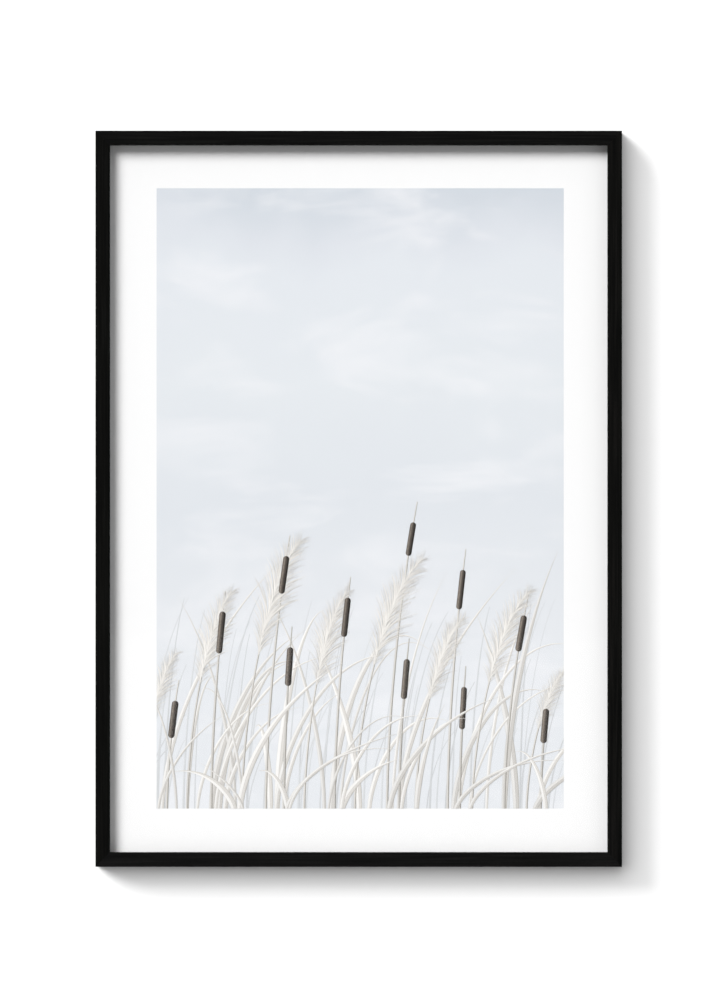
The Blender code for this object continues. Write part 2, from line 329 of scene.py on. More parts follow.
def black_stained_ash(side):
    """Straight-grained ash with a black stain and a thin matt lacquer. The stain hides the wood's colour,
    and the eye is left with faint streaks along the rail and open pores that break up the sheen."""
    material, tree = start_material("black_ash_with_painted_light_" + side, IOR=1.5, Specular_IOR_Level=0.03)
    place = add(tree, "ShaderNodeTexCoord").outputs["Object"]
    along = 0 if side in ("top", "bottom") else 2
    start = [GRAIN_SHIFT * list(SIDES).index(side)] * 3
    noises = []
    for width, length, detail in (STREAKS, PORES):
        scale = [1 / width] * 3
        scale[along] = 1 / length
        mapped = add(tree, "ShaderNodeMapping", {"Vector": place, "Location": start, "Scale": scale})
        noises.append(add(tree, "ShaderNodeTexNoise", {"Vector": mapped, "Scale": 1.0, "Detail": detail}))
    streaks, pores = noises
    # This rail's own tones carry painted light and shade as well as the grain.
    stops = zip(TONE_PLACES, GRAIN_AND_PAINTED_LIGHT_TONES[side])
    grain = set_stops(add(tree, "ShaderNodeValToRGB", {"Fac": streaks}), *stops)
    closed = add(tree, "ShaderNodeMapRange", {"Value": pores, "From Min": 0.3, "From Max": 0.42})
    colour = {"Factor": closed, "A": linear("#030303"), "B": grain}
    colour = add(tree, "ShaderNodeMix", colour, data_type="RGBA")
    sheen = {"Value": streaks, "From Min": 0.3, "From Max": 0.7, "To Min": 0.62, "To Max": 0.5}
    sheen = add(tree, "ShaderNodeMapRange", sheen)
    relief = add(tree, "ShaderNodeMath", {0: streaks, 1: 0.35, 2: closed}, operation="MULTIPLY_ADD")
    bump = add(tree, "ShaderNodeBump", {"Height": relief, "Strength": 0.5, "Distance": 0.05 * MM})
    link_shader(tree, Base_Color=colour, Roughness=sheen, Normal=bump)
    return material


def is_rebate(edge):
    """Whether the edge is one of the rebate's three, which stay sharp."""
    y, z = edge.verts[0].co.yz
    return y > LIP_BACK - EDGE_RADIUS and z < -EDGE_RADIUS


def rail_shape(length):
    """The moulding's section, run along X and mitred. Local Z = 0 is the outer edge."""
    front = [(-DEPTH, 0), (-DEPTH, -FACE), (LIP_BACK, -FACE)]
    rebate = [(LIP_BACK, LIP - FACE), (0, LIP - FACE)]
    section = [*front, *rebate, (0, 0)]
    shape = bmesh.new()
    start = shape.faces.new([shape.verts.new((-length / 2, y, z)) for y, z in section])
    extruded = bmesh.ops.extrude_face_region(shape, geom=[start])["geom"]
    ends = [part for part in extruded if isinstance(part, bmesh.types.BMVert)]
    bmesh.ops.translate(shape, verts=ends, vec=(length, 0, 0))
    for vert in shape.verts:
        half = length / 2 + vert.co.z - MITRE_GAP / math.sqrt(2)
        vert.co.x = math.copysign(half, vert.co.x)
    bmesh.ops.recalc_face_normals(shape, faces=shape.faces)
    lengthwise = [edge for edge in shape.edges if edge.verts[0].co.x * edge.verts[1].co.x < 0]
    eased = [edge for edge in lengthwise if not is_rebate(edge)]
    bmesh.ops.bevel(
        shape, geom=eased, offset=EDGE_RADIUS, segments=EDGE_SEGMENTS, profile=0.5, affect="EDGES"
    )
    return shape


def pocket_shape(driven):
    """What the fixings take out of the wood. A corner nail's pocket runs on past the back face."""
    shape = bmesh.new()
    for node in driven:
        shape.from_mesh(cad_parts[node].data)
    bmesh.ops.remove_doubles(shape, verts=shape.verts, dist=WELD)
    bmesh.ops.dissolve_limit(shape, angle_limit=LEVEL, verts=shape.verts, edges=shape.edges)
    nail_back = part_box("corner_nail_top_left")[1].y
    for vert in shape.verts:
        if vert.co.y > nail_back - NEAR:
            vert.co.y = EDGE_RADIUS
    return shape


def make_rails():
    """Four rails with tight mitres. Tabs and corner nails sit in pockets of their own size."""
    for side, turn in SIDES.items():
        level = side in ("top", "bottom")
        length, reach = (OUTER_WIDTH, OUTER_HEIGHT) if level else (OUTER_HEIGHT, OUTER_WIDTH)
        shape = rail_shape(length)
        place = Matrix.Translation(CENTRE * Vector((1, 0, 1))) @ Matrix.Rotation(turn, 4, "Y")
        bmesh.ops.transform(shape, matrix=place @ Matrix.Translation((0, 0, reach / 2)), verts=shape.verts)
        rail = shape_object(side + "_rail_wood", shape, black_stained_ash(side))
        driven = [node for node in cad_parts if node.startswith((f"tab_{side}_", "corner_nail_"))]
        pockets = shape_object("pockets", pocket_shape(driven))
        boolean = rail.modifiers.new("pockets", "BOOLEAN")
        boolean.solver = "EXACT"
        boolean.object = pockets
        apply_modifiers(rail)
        bpy.data.objects.remove(pockets)
        rail.data.shade_smooth()
        rail.data.set_sharp_from_angle(angle=SMOOTH_BELOW)
        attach(rail, "root")
        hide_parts(side + "_rail")


# The glazing and the sheet

BARE_GLOSS = 0.04  # the share of light that bare acrylic sends back head on
COATED_GLOSS = 0.15  # the share of that gloss which the coat leaves
MATT_COAT = {"Roughness": 0.85, "IOR": 1.5, "Specular_IOR_Level": 0.15}


def clear_acrylic():
    """Cast acrylic with a low-glare coat. It shows as a weak gloss over the print, stronger at a slant."""
    material, tree = start_material("coated_cast_acrylic")
    slant = add(tree, "ShaderNodeLayerWeight", {"Blend": 0.5}).outputs["Facing"]
    slant = add(tree, "ShaderNodeMath", {0: slant, 1: 5.0}, operation="POWER")
    share = {"Value": slant, "To Min": COATED_GLOSS * BARE_GLOSS, "To Max": COATED_GLOSS}
    share = add(tree, "ShaderNodeMapRange", share)
    place = add(tree, "ShaderNodeTexCoord").outputs["Object"]
    wipes = add(tree, "ShaderNodeTexNoise", {"Vector": place, "Scale": 1 / (60 * MM), "Detail": 3.0})
    haze = {"Value": wipes, "From Min": 0.4, "From Max": 0.7, "To Min": 0.01, "To Max": 0.05}
    gloss = add(tree, "ShaderNodeBsdfGlossy", {"Roughness": add(tree, "ShaderNodeMapRange", haze)})
    clear = add(tree, "ShaderNodeBsdfTransparent")
    surface = add(tree, "ShaderNodeMixShader", {0: share, 1: clear, 2: gloss})
    tree.nodes.remove(tree.nodes["Principled BSDF"])
    tree.links.new(output_of(surface), tree.nodes["Material Output"].inputs["Surface"])
    return material


def paper_tooth(tree, place):
    """The fine tooth of matt coated paper, drawn at 0.4 mm so that it shows."""
    tooth = add(tree, "ShaderNodeTexNoise", {"Vector": place, "Scale": 1 / (0.4 * MM), "Detail": 3.0})
    return tooth, add(tree, "ShaderNodeBump", {"Height": tooth, "Strength": 0.15, "Distance": 0.03 * MM})


def poster_paper():
    """Matt coated poster paper with a pigment print. White round the edge, with a pale sky inside it that
    is deepest at the top, in a haze about 120 mm across, with wisps of cloud drawn out to 150 mm."""
    material, tree = start_material("printed_poster_paper", **MATT_COAT)
    place = add(tree, "ShaderNodeTexCoord").outputs["Object"]
    axes = add(tree, "ShaderNodeSeparateXYZ", {"Vector": place})
    in_width = {0: axes.outputs["X"], 1: PICTURE_CENTRE.x, 2: PICTURE_WIDTH * MM / 2}
    in_height = {0: axes.outputs["Z"], 1: PICTURE_CENTRE.z, 2: PICTURE_HEIGHT * MM / 2}
    in_width, in_height = [
        add(tree, "ShaderNodeMath", span, operation="COMPARE") for span in (in_width, in_height)
    ]
    inside = add(tree, "ShaderNodeMath", {0: in_width, 1: in_height}, operation="MULTIPLY")

    up = {"Value": axes.outputs["Z"], "From Min": PICTURE_CORNER.z, "From Max": FAR_CORNER.z}
    up = add(tree, "ShaderNodeMapRange", {**up, "To Min": -0.1, "To Max": 0.9})
    haze = add(tree, "ShaderNodeTexNoise", {"Vector": place, "Scale": 1 / (120 * MM), "Detail": 3.0})
    height = add(tree, "ShaderNodeMath", {0: haze, 1: 0.2, 2: up}, operation="MULTIPLY_ADD")
    sky = set_stops(
        add(tree, "ShaderNodeValToRGB", {"Fac": height}),
        (0.0, "#e3e6ea"), (0.3, "#e3e6ea"), (0.5, "#dee2e7"), (0.68, "#e2e6ea"), (0.86, "#e1e5ea"),
        (0.93, "#dce0e6"), (1.0, "#d1d7de"),
    )
    drawn = {"Vector": place, "Rotation": (0, 0.5, 0), "Scale": (1 / (150 * MM), 1.0, 1 / (60 * MM))}
    wisps = {"Vector": add(tree, "ShaderNodeMapping", drawn), "Scale": 1.0, "Detail": 7.0, "Roughness": 0.6}
    wisps = add(tree, "ShaderNodeTexNoise", {**wisps, "Distortion": 0.6})
    lit = {"Value": wisps, "From Min": 0.48, "From Max": 0.74, "To Max": 0.8}
    sky = {"Factor": add(tree, "ShaderNodeMapRange", lit), "A": sky, "B": linear("#eff0f3")}
    sky = add(tree, "ShaderNodeMix", sky, data_type="RGBA")

    tooth, bump = paper_tooth(tree, place)
    white = set_stops(add(tree, "ShaderNodeValToRGB", {"Fac": tooth}), (0.2, "#f7f7f7"), (0.8, "#fafafa"))
    colour = add(tree, "ShaderNodeMix", {"Factor": inside, "A": white, "B": sky}, data_type="RGBA")
    link_shader(tree, Base_Color=colour, Normal=bump)
    return material


# The printed plants

TOOTH_SHARE = 0.08  # how much the paper's tooth shows in the ink
VEINS_ACROSS = 2.5  # veins from a strand's middle to its edge
TONES_APART = 90.0  # keeps strands of unlike tone apart in the veins' noise


def pigment_ink(name, *stops, fade=0.0, veins=0.2, felt=0.0):
    """Pigment ink on matt paper. The colour runs across each strand, from its left edge to its right. It is
    darkened by the strand's own tone, by fade at its foot, by veins that run the length of it, and by felt,
    which is tufts a millimetre wide."""
    material, tree = start_material(name, **MATT_COAT)
    tone, side, reach = [
        add(tree, "ShaderNodeAttribute", attribute_name=key).outputs["Fac"]
        for key in ("tone", "across", "along")
    ]
    place = add(tree, "ShaderNodeMapRange", {"Value": side, "From Min": -1.0, "From Max": 1.0})
    colour = set_stops(add(tree, "ShaderNodeValToRGB", {"Fac": place}), *stops)
    paper = add(tree, "ShaderNodeTexCoord").outputs["Object"]
    tooth, bump = paper_tooth(tree, paper)
    tufts = add(tree, "ShaderNodeTexNoise", {"Vector": paper, "Scale": 1 / MM, "Detail": 3.0})
    strand = add(tree, "ShaderNodeMath", {0: tone, 1: TONES_APART, 2: side}, operation="MULTIPLY_ADD")
    strand = add(tree, "ShaderNodeCombineXYZ", {"X": strand, "Y": reach})
    vein = add(tree, "ShaderNodeTexNoise", {"Vector": strand, "Scale": VEINS_ACROSS, "Detail": 3.0})
    share = tone
    for pattern, strength in ((tooth, TOOTH_SHARE), (vein, veins), (tufts, felt)):
        share = add(tree, "ShaderNodeMath", {0: pattern, 1: strength, 2: share}, operation="MULTIPLY_ADD")

    # Half of each pattern's strength comes off again, so that the patterns leave the tone as it is
    level = -(TOOTH_SHARE + veins + felt) / 2
    foot = add(tree, "ShaderNodeMapRange", {"Value": reach, "To Min": level - fade, "To Max": level})
    share = add(tree, "ShaderNodeMath", {0: share, 1: foot}, operation="ADD", use_clamp=True)
    printed = {"Factor": 1.0, "A": colour, "B": share}
    printed = add(tree, "ShaderNodeMix", printed, data_type="RGBA", blend_type="MULTIPLY")
    link_shader(tree, Base_Color=printed, Normal=bump)
    return material


def add_strand(shape, points, depth, **marks):
    """A centre line in the picture, this far in front of the paper. Each mark is a number that its points
    keep, or a function that gives the number from 0 at the foot to 1 at the tip."""
    floats = shape.verts.layers.float
    layers = {key: floats.get(key) or floats.new(key) for key in marks}
    last = None
    for i, (across, up) in enumerate(points):
        place = PICTURE_CORNER + Vector((across, 0, up)) * MM
        place.y = SHEET_FRONT - depth * MM
        vert = shape.verts.new(place)
        for key, mark in marks.items():
            vert[layers[key]] = mark(i / (len(points) - 1)) if callable(mark) else mark
        if last:
            shape.edges.new((last, vert))
        last = vert


def leaning(foot, lean, height, nod=0.12, start=0.0, end=1.0, count=16):
    """Part of a stem's line: upright at its foot, leaning with the wind, and nodding at its tip."""
    steps = [start + (end - start) * i / (count - 1) for i in range(count)]
    return [(foot + lean * t**BEND, height * (t - nod * t**4) - SUNK) for t in steps]


def blade(width):
    """A leaf's half width, widest a quarter of the way up and drawn out to a point."""
    return lambda t: max(LEAF_TIP, width * 0.95 * math.sqrt(t + 0.1) * (1 - t) ** 1.15) * MM


def flat_profile(tree):
    """An oblong pressed flat, to be swept along a strand. Its points know which edge of the strand they
    make, and whether they make its front or its back."""
    oblong = add(tree, "GeometryNodeCurvePrimitiveQuadrilateral", {"Width": 2.0, "Height": 2.0})
    axes = add(tree, "ShaderNodeSeparateXYZ", {"Vector": add(tree, "GeometryNodeInputPosition")})
    back = add(tree, "ShaderNodeMath", {0: axes.outputs["X"], 1: 0.0}, operation="LESS_THAN")
    for name, value in (("across", axes.outputs["Y"]), ("back", back)):
        mark = {"Geometry": oblong, "Name": name, "Value": value}
        oblong = add(tree, "GeometryNodeStoreNamedAttribute", mark, data_type="FLOAT", domain="POINT")
    pressed = add(tree, "ShaderNodeCombineXYZ", {"Y": axes.outputs["Y"]})
    return add(tree, "GeometryNodeSetPosition", {"Geometry": oblong, "Position": pressed})


def mark_along(tree, curve):
    """Stores each point's place along its own strand, from 0 at the foot to 1 at the tip."""
    mark = {"Geometry": curve, "Name": "along", "Value": add(tree, "GeometryNodeSplineParameter")}
    return add(tree, "GeometryNodeStoreNamedAttribute", mark, data_type="FLOAT", domain="POINT")


def sweep(tree, curve, half_width):
    """A flat strand round a curve that lies in the picture's plane."""
    facing = {"Curve": curve, "Normal": TOWARDS_VIEWER}
    facing = add(tree, "GeometryNodeSetCurveNormal", facing, mode="FREE")
    inputs = {"Curve": facing, "Profile Curve": flat_profile(tree), "Scale": half_width, "Fill Caps": True}
    return add(tree, "GeometryNodeCurveToMesh", inputs)


def strand_tree():
    """Makes a flat strand of each centre line, as wide as its points say."""
    tree, inputs = start_tree("printed_strands", Material="Material")
    curve = mark_along(tree, add(tree, "GeometryNodeMeshToCurve", {"Mesh": inputs["Geometry"]}))
    width = add(tree, "GeometryNodeInputNamedAttribute", {"Name": "half_width"}, data_type="FLOAT")
    return end_tree(tree, sweep(tree, curve, width), inputs["Material"])


# A hair's own draws: its side, its share of the full spread and its share of the full length
HAIR_DRAWS = ((0, 1), (0.05, 1), (0.55, 1.1))

# The share of the full spread that hairs have on the windward side, and at the plume's tip
WINDWARD_SPREAD = 0.6
TIP_SPREAD = 0.5

# The share of the full length at the plume's foot and at its tip, and how far up the hairs stop growing
FOOT_LENGTH = 0.5
TIP_LENGTH = 0.3
GROWN_AT = 0.3

# The tones of the rearmost and of the foremost hairs, and what comes off them on the lee side
REAR_TONE, FORE_TONE = 0.7, 1.08
LEE_SHADE = -0.07
GOLDEN_SECTION = (math.sqrt(5) - 1) / 2


def plume_tree():
    """Hangs hairs along each plume's line, to its left and right. Those in front are the lighter ones."""
    sizes = {"Hair Length": "Float", "Hair Width": "Float", "Spread": "Float", "Layer": "Float"}
    tree, inputs = start_tree("feathery_plumes", Hairs="Int", Seed="Int", Material="Material", **sizes)
    line = mark_along(tree, add(tree, "GeometryNodeMeshToCurve", {"Mesh": inputs["Geometry"]}))
    points = add(tree, "GeometryNodeCurveToPoints", {"Curve": line, "Count": inputs["Hairs"]}, mode="COUNT")
    along, size = [
        add(tree, "GeometryNodeInputNamedAttribute", {"Name": key}, data_type="FLOAT")
        for key in ("along", "size")
    ]
    draws = []
    for salt, (least, most) in enumerate(HAIR_DRAWS, start=1):
        seed = add(tree, "FunctionNodeIntegerMath", {0: inputs["Seed"], 1: salt}, operation="ADD")
        drawn = {"Min": least, "Max": most, "Seed": seed}
        draws.append(add(tree, "FunctionNodeRandomValue", drawn, data_type="FLOAT"))
    side, stance, growth = draws
    left = add(tree, "ShaderNodeMath", {0: side, 1: 0.5}, operation="GREATER_THAN")

    # One hair, a metre long until it is scaled
    bent = {"Start": (0, 0, 0), "Middle": (0.02, 0, 0.55), "End": (0.3, 0, 0.95), "Resolution": 4}
    hair = mark_along(tree, add(tree, "GeometryNodeCurveQuadraticBezier", bent))
    width = {0: inputs["Hair Width"], 1: inputs["Hair Length"]}
    width = add(tree, "ShaderNodeMath", width, operation="DIVIDE")
    taper = {"Value": add(tree, "GeometryNodeSplineParameter"), "To Min": 0.5, "To Max": 0.1}
    taper = add(tree, "ShaderNodeMapRange", taper)
    hair = sweep(tree, hair, add(tree, "ShaderNodeMath", {0: width, 1: taper}, operation="MULTIPLY"))

    # How far out it stands: less on the windward side, and less towards the plume's tip
    windward = add(tree, "ShaderNodeMapRange", {"Value": left, "To Min": 1.0, "To Max": WINDWARD_SPREAD})
    closing = add(tree, "ShaderNodeMapRange", {"Value": along, "To Min": 1.0, "To Max": TIP_SPREAD})
    outwards = inputs["Spread"]
    for share in (stance, windward, closing):
        outwards = add(tree, "ShaderNodeMath", {0: outwards, 1: share}, operation="MULTIPLY")

    # Its turn: along the line, round to its own side, then outwards
    round_to_left = add(tree, "ShaderNodeMath", {0: left, 1: math.pi}, operation="MULTIPLY")
    turn = add(tree, "FunctionNodeAlignRotationToVector", {"Vector": points.outputs["Tangent"]}, axis="Z")
    for angle in ({"Z": round_to_left}, {"Y": outwards}):
        angle = add(tree, "ShaderNodeCombineXYZ", angle)
        angle = add(tree, "FunctionNodeEulerToRotation", {"Euler": angle})
        turned = {"Rotation": turn, "Rotate By": angle}
        turn = add(tree, "FunctionNodeRotateRotation", turned, rotation_space="LOCAL")

    # Its length: it grows quickly above the plume's foot, and falls off towards the tip
    growing = {"Value": along, "From Max": GROWN_AT, "To Min": FOOT_LENGTH, "To Max": 1.0}
    growing = add(tree, "ShaderNodeMapRange", growing)
    square = add(tree, "ShaderNodeMath", {0: along, 1: along}, operation="MULTIPLY")
    slimming = add(tree, "ShaderNodeMapRange", {"Value": square, "To Min": 1.0, "To Max": TIP_LENGTH})
    length = inputs["Hair Length"]
    for share in (size, growing, slimming, growth):
        length = add(tree, "ShaderNodeMath", {0: length, 1: share}, operation="MULTIPLY")
    hairs = {"Points": points.outputs["Points"], "Instance": hair, "Rotation": turn, "Scale": length}
    hairs = add(tree, "GeometryNodeInstanceOnPoints", hairs)

    # The golden section keeps hairs that grow near each other in layers of their own
    forward = {0: add(tree, "GeometryNodeInputIndex"), 1: GOLDEN_SECTION}
    forward = add(tree, "ShaderNodeMath", forward, operation="MULTIPLY")
    forward = add(tree, "ShaderNodeMath", {0: forward}, operation="FRACT")
    lift = add(tree, "ShaderNodeMath", {0: inputs["Layer"], 1: forward}, operation="MULTIPLY")
    lift = add(tree, "ShaderNodeVectorMath", {0: TOWARDS_VIEWER, "Scale": lift}, operation="SCALE")
    lifted = {"Instances": hairs, "Translation": lift, "Local Space": False}
    hairs = add(tree, "GeometryNodeTranslateInstances", lifted)
    light = add(tree, "ShaderNodeMapRange", {"Value": forward, "To Min": REAR_TONE, "To Max": FORE_TONE})
    shade = add(tree, "ShaderNodeMapRange", {"Value": left, "To Min": LEE_SHADE, "To Max": 0.0})
    tone = add(tree, "ShaderNodeMath", {0: light, 1: shade}, operation="ADD")
    for name, value in (("tone", tone), ("turned", left)):
        mark = {"Geometry": hairs, "Name": name, "Value": value}
        hairs = add(tree, "GeometryNodeStoreNamedAttribute", mark, data_type="FLOAT", domain="INSTANCE")
    return end_tree(tree, hairs, inputs["Material"])


def trim_to_picture(item):
    """Cuts off what runs over the picture's edges, and closes the cuts."""
    shape = bmesh.new()
    shape.from_mesh(item.data)
    for corner, sign in ((PICTURE_CORNER, -1), (FAR_CORNER, 1)):
        for normal in (Vector((sign, 0, 0)), Vector((0, 0, sign))):
            parts = shape.verts[:] + shape.edges[:] + shape.faces[:]
            cut = bmesh.ops.bisect_plane(
                shape, geom=parts, plane_co=corner, plane_no=normal, clear_outer=True
            )["geom_cut"]
            edges = [part for part in cut if isinstance(part, bmesh.types.BMEdge)]
            bmesh.ops.holes_fill(shape, edges=edges, sides=0)
    for face in shape.faces:
        face.smooth = False
    shape.to_mesh(item.data)
    shape.free()


def keep_print(item):
    """Trims a layer of ink and keeps it as part of the print."""
    trim_to_picture(item)
    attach(item, "root")


def round_ended(first, last, half_width, count=18):
    """A straight line for a shape with a half circle at each end, with most of its points there. The half
    width that goes with it is a sine."""
    length = math.dist(first, last)
    angles = [math.pi * i / (count - 1) for i in range(count)]
    straight = length - 2 * half_width
    places = [half_width * (1 - math.cos(angle)) + straight * (angle > math.pi / 2) for angle in angles]
    (x, y), (last_x, last_y) = first, last
    return [(x + (last_x - x) * place / length, y + (last_y - y) * place / length) for place in places]


def make_far_reeds(strands, dice):
    """Faint thin reeds behind the other plants."""
    shape = bmesh.new()
    for i in range(FAR_REED_COUNT):
        line = leaning(foot=dice.uniform(-30, 400), lean=dice.uniform(8, 44), height=dice.uniform(70, 250))
        width = dice.uniform(0.6, 1.2)
        tone = dice.uniform(0.88, 1.0)
        depth = FAR_REEDS + i * FAR_REED_STEP
        add_strand(shape, line, depth, half_width=lambda t: width * (1 - 0.7 * t) * MM, tone=tone)
    ink = pigment_ink("faint_reed_ink", (0.0, "#e5e7e9"), (1.0, "#d6d9dc"), fade=0.06)
    keep_print(grow("printed_far_reeds", shape, strands, Material=ink))


def make_stems(strands, dice):
    """The stems of the pampas plumes and of the bulrushes."""
    shape = bmesh.new()
    for i, (foot, lean, height) in enumerate(PAMPAS):
        line = leaning(foot, lean, height, nod=PAMPAS_NOD)
        tone = dice.uniform(0.9, 1.0)
        depth = STEMS + i * LAYER_STEP
        add_strand(shape, line, depth, half_width=lambda t: (1.2 - 0.8 * t) * MM, tone=tone)
    for i, (foot, lean, height) in enumerate(BULRUSHES):
        line = leaning(foot, lean, height, nod=BULRUSH_NOD)
        tone = dice.uniform(0.8, 0.95)
        depth = STEMS + (i + len(PAMPAS)) * LAYER_STEP
        add_strand(shape, line, depth, half_width=lambda t: (1.25 - 0.75 * t**3) * MM, tone=tone)
    ink = pigment_ink(
        "reed_stem_ink", (0.0, "#d5d1cb"), (0.3, "#f8f6f2"), (0.7, "#c2bdb6"), (1.0, "#918c85"), fade=0.1
    )
    keep_print(grow("printed_stems", shape, strands, Material=ink))


def make_plumes():
    """The feathery upper half of each pampas stem."""
    shape = bmesh.new()
    for foot, lean, height in PAMPAS:
        line = leaning(foot, lean, height, nod=PAMPAS_NOD, start=0.5, count=24)
        add_strand(shape, line, PLUMES, size=height / FULL_PLUME)
    sizes = {"Hair Length": 34 * MM, "Hair Width": 1.1 * MM, "Spread": 0.62, "Layer": PLUME_LAYER * MM}
    ink = pigment_ink(
        "pampas_plume_ink", (0.0, "#fbf9f5"), (0.6, "#f9f6f1"), (1.0, "#e4e0da"), fade=0.1, veins=0.0
    )
    keep_print(grow("printed_plumes", shape, plume_tree(), Hairs=300, Seed=5, Material=ink, **sizes))


def make_seed_heads(strands, dice):
    """A brown felted head below the tip of each bulrush."""
    shape = bmesh.new()
    for i, (foot, lean, height) in enumerate(BULRUSHES):
        length = dice.uniform(32, 44)
        top = 1 - BARE_TIP / height
        ends = leaning(foot, lean, height, nod=BULRUSH_NOD, start=top - length / height, end=top, count=2)
        radius = dice.uniform(2.8, 3.5)
        tone = dice.uniform(0.8, 1.0)
        depth = SEED_HEADS + i * LAYER_STEP
        add_strand(
            shape, round_ended(*ends, radius), depth,
            half_width=lambda t: max(HEAD_TIP, radius * math.sin(math.pi * t)) * MM, tone=tone,
        )
    ink = pigment_ink(
        "bulrush_head_ink", (0.0, "#5f5852"), (0.22, "#968c82"), (0.5, "#5c554f"), (0.8, "#35312e"),
        (1.0, "#24211f"), veins=0.3, felt=1.4,
    )
    keep_print(grow("printed_seed_heads", shape, strands, Material=ink))


def make_leaves(strands, dice, name, layer, count, heights):
    """Long folded leaves. About a third of them lean a little to the left."""
    shape = bmesh.new()
    for i in range(count):
        lean = dice.choice((-0.5, 1, 1)) * dice.uniform(20, 130)
        nod = dice.uniform(0.02, 0.45)
        line = leaning(dice.uniform(-20, 390), lean, dice.uniform(*heights), nod=nod, count=24)
        half_width = blade(dice.uniform(3.0, 8.5))
        tone = dice.uniform(0.9, 1.06)
        add_strand(shape, line, layer + i * LAYER_STEP, half_width=half_width, tone=tone)
    ink = pigment_ink(
        name + "_ink", (0.0, "#dddbd7"), (0.06, "#fbfaf8"), (0.46, "#f8f6f3"), (0.5, "#c0bcb6"),
        (0.54, "#e5e2de"), (0.92, "#dad7d2"), (1.0, "#aaa6a0"), fade=0.12,
    )
    keep_print(grow("printed_" + name, shape, strands, Material=ink))


def make_print():
    """Reeds, pampas plumes and bulrushes that rise from the picture's lower edge and lean to the right."""
    dice = random.Random(11)
    strands = strand_tree()
    make_far_reeds(strands, dice)
    make_leaves(strands, dice, "back_leaves", BACK_LEAVES, BACK_LEAF_COUNT, heights=(120, 280))
    make_stems(strands, dice)
    make_plumes()
    make_seed_heads(strands, dice)
    make_leaves(strands, dice, "front_leaves", FRONT_LEAVES, FRONT_LEAF_COUNT, heights=(50, 170))


# The back

# The hardboard's fibres: how wide, deep and long they are, and how far each of three layers is turned
FIBRE = (0.5 * MM, MM, 6 * MM)
FIBRE_TURNS = (0.4, 1.5, 2.6)


def hardboard():
    """Wet-pressed hardboard: a smooth brown face of matted wood fibre, with pale and dark flecks."""
    material, tree = start_material("pressed_hardboard", IOR=1.5, Specular_IOR_Level=0.3)
    place = add(tree, "ShaderNodeTexCoord").outputs["Object"]
    layers = []
    for angle in FIBRE_TURNS:
        turned = add(tree, "ShaderNodeMapping", {"Vector": place, "Rotation": (0, angle, 0)})
        drawn = {"Vector": turned, "Scale": [1 / size for size in FIBRE]}
        drawn = add(tree, "ShaderNodeMapping", drawn)
        layers.append(add(tree, "ShaderNodeTexNoise", {"Vector": drawn, "Scale": 1.0, "Detail": 3.0}))
    mixed = add(tree, "ShaderNodeMath", {0: layers[0], 1: layers[1]}, operation="ADD")
    fibres = add(tree, "ShaderNodeMath", {0: mixed, 1: layers[2]}, operation="ADD")
    fibres = add(tree, "ShaderNodeMath", {0: fibres, 1: len(layers)}, operation="DIVIDE")
    brown = set_stops(
        add(tree, "ShaderNodeValToRGB", {"Fac": fibres}),
        (0.36, "#4f3826"), (0.46, "#76573b"), (0.54, "#8a6846"), (0.66, "#a98a63"),
    )
    patches = add(tree, "ShaderNodeTexNoise", {"Vector": place, "Scale": 1 / (70 * MM), "Detail": 4.0})
    tint = set_stops(add(tree, "ShaderNodeValToRGB", {"Fac": patches}), (0.3, "#e9e4df"), (0.7, "#ffffff"))
    colour = {"Factor": 1.0, "A": brown, "B": tint}
    colour = add(tree, "ShaderNodeMix", colour, data_type="RGBA", blend_type="MULTIPLY")
    sheen = {"Value": fibres, "From Min": 0.35, "From Max": 0.65, "To Min": 0.5, "To Max": 0.75}
    sheen = add(tree, "ShaderNodeMapRange", sheen)
    bump = add(tree, "ShaderNodeBump", {"Height": fibres, "Strength": 0.4, "Distance": 0.08 * MM})
    link_shader(tree, Base_Color=colour, Roughness=sheen, Normal=bump)
    return material


def plated_steel(name, dark, light, rough, scuff):
    """Rolled strip with a thin plating. Clouds a few millimetres wide dull it, and fine scuffs from the
    press and the barrel cross it, each 12 times as long as it is wide."""
    material, tree = start_material(name, Metallic=1.0)
    place = add(tree, "ShaderNodeTexCoord").outputs["Object"]
    clouds = add(tree, "ShaderNodeTexNoise", {"Vector": place, "Scale": 1 / (3 * MM), "Detail": 4.0})
    scale = (1 / scuff, 1 / scuff, 1 / (12 * scuff))
    drawn = add(tree, "ShaderNodeMapping", {"Vector": place, "Rotation": (0, 0.5, 0), "Scale": scale})
    scuffs = add(tree, "ShaderNodeTexNoise", {"Vector": drawn, "Scale": 1.0, "Detail": 3.0})
    both = add(tree, "ShaderNodeMath", {0: scuffs, 1: 0.4, 2: clouds}, operation="MULTIPLY_ADD")
    colour = set_stops(add(tree, "ShaderNodeValToRGB", {"Fac": both}), (0.5, dark), (0.85, light))
    sheen = {"Value": both, "From Min": 0.5, "From Max": 0.9}
    sheen = add(tree, "ShaderNodeMapRange", {**sheen, "To Min": rough + 0.12, "To Max": rough - 0.08})
    bump = add(tree, "ShaderNodeBump", {"Height": both, "Strength": 0.25, "Distance": 0.03 * MM})
    link_shader(tree, Base_Color=colour, Roughness=sheen, Normal=bump)
    return material


def dress_kept_nodes():
    """Gives each of the frame's own pieces the finish that goes with the start of its name."""
    finishes = {
        "glazing": clear_acrylic(),
        "print_sheet": poster_paper(),
        "backing_board": hardboard(),
        "tab": plated_steel("zinc_plated_steel", "#85898d", "#bcc0c2", rough=0.38, scuff=0.15 * MM),
        "hanger": plated_steel("brass_plated_steel", "#a68d56", "#cbb57e", rough=0.34, scuff=0.2 * MM),
        "rivet": plated_steel("brass_plated_rivet", "#9d8350", "#ccb67e", rough=0.3, scuff=0.15 * MM),
        "corner_nail": plated_steel("blued_steel", "#2c3036", "#565b63", rough=0.34, scuff=0.1 * MM),
    }
    for node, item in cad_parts.items():
        for start, finish in finishes.items():
            if node.startswith(start):
                item.material_slots[0].material = finish


# The stage, the lights and the camera


